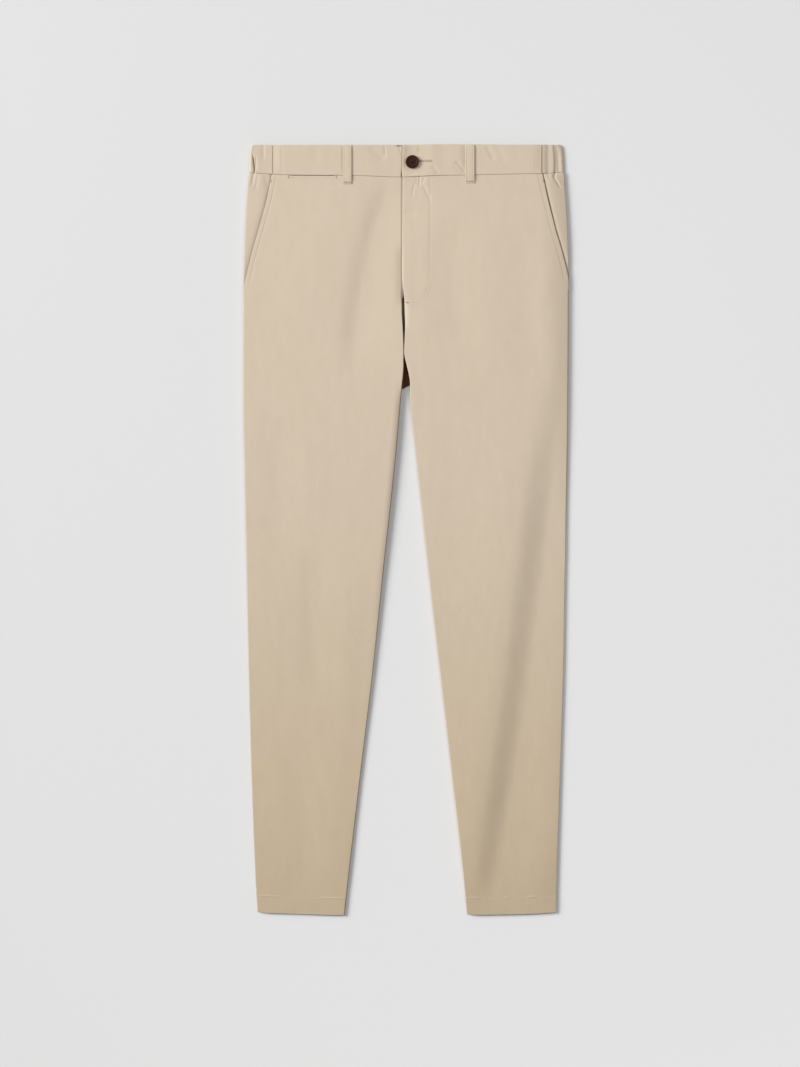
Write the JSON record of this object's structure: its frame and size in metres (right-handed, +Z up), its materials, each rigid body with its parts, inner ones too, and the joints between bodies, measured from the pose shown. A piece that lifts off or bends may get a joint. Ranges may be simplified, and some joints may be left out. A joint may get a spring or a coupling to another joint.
{
  "type": "chino trousers",
  "caption": "Slim chino trousers laid flat and face up, with a fastened waist button, a fly, slanted pockets, belt loops and elasticated sides.",
  "frame": {"origin": "the middle of the outline of the trousers as they lie, on the surface under them", "axes": "+X towards the wearer's left, +Y up the trousers to the waist, +Z up out of the front"},
  "size_m": [0.4328, 1.0247, 0.0111],
  "materials": {
    "cotton_twill": "matt brushed cotton twill, sand beige",
    "button_resin": "satin dark brown resin"
  },
  "bodies": {
    "root": {"back_left_leg": "cotton_twill", "back_right_leg": "cotton_twill", "belt_loop_left": "cotton_twill", "belt_loop_right": "cotton_twill", "button": "button_resin", "coin_pocket_facing": "cotton_twill", "front_left_leg": "cotton_twill", "front_right_leg": "cotton_twill", "pocket_facing_left": "cotton_twill", "pocket_facing_right": "cotton_twill", "waistband_back": "cotton_twill", "waistband_left_elastic": "cotton_twill", "waistband_left_front": "cotton_twill", "waistband_right_elastic": "cotton_twill", "waistband_right_front": "cotton_twill"}
  },
  "joints": []
}
